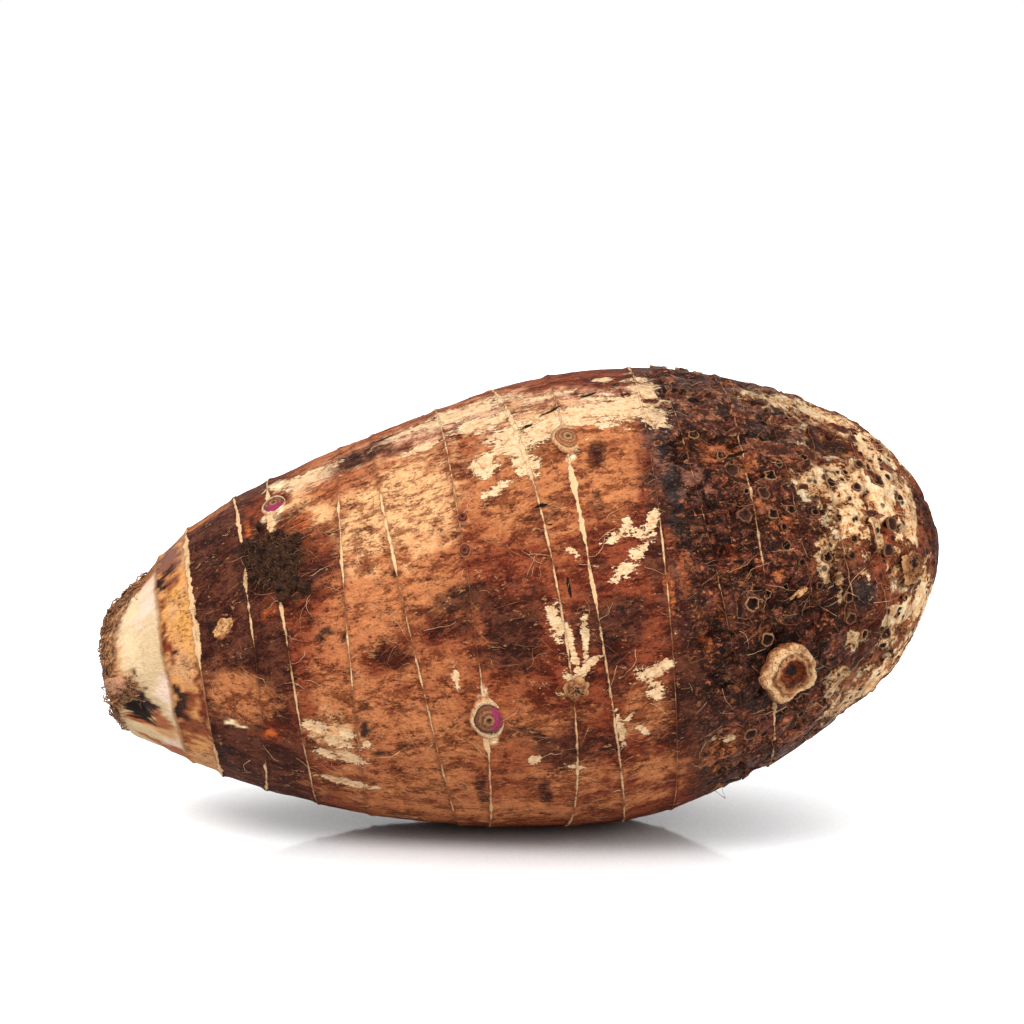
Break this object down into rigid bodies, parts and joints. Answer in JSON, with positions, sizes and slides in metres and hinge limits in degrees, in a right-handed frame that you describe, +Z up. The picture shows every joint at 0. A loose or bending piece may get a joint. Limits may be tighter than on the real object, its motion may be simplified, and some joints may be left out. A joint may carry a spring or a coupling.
{
  "type": "taro root",
  "caption": "Whole taro corm lying on its side: an egg-shaped edible root with ring-like leaf scars, side buds, a broken side shoot and a trimmed shoot end.",
  "frame": {"origin": "middle of the bounding box, on the surface that the corm lies on", "axes": "+X along the corm from the trimmed shoot end to the blunt root end, +Z up, -Y towards the side with the broken side shoot"},
  "size_m": [0.21, 0.1124, 0.1156],
  "materials": {
    "corm_skin": "matt, fibrous reddish-brown skin, darker at both ends, with cream scars and cream flesh at the trimmed end"
  },
  "bodies": {
    "root": {"taro_corm": "corm_skin"}
  },
  "joints": []
}
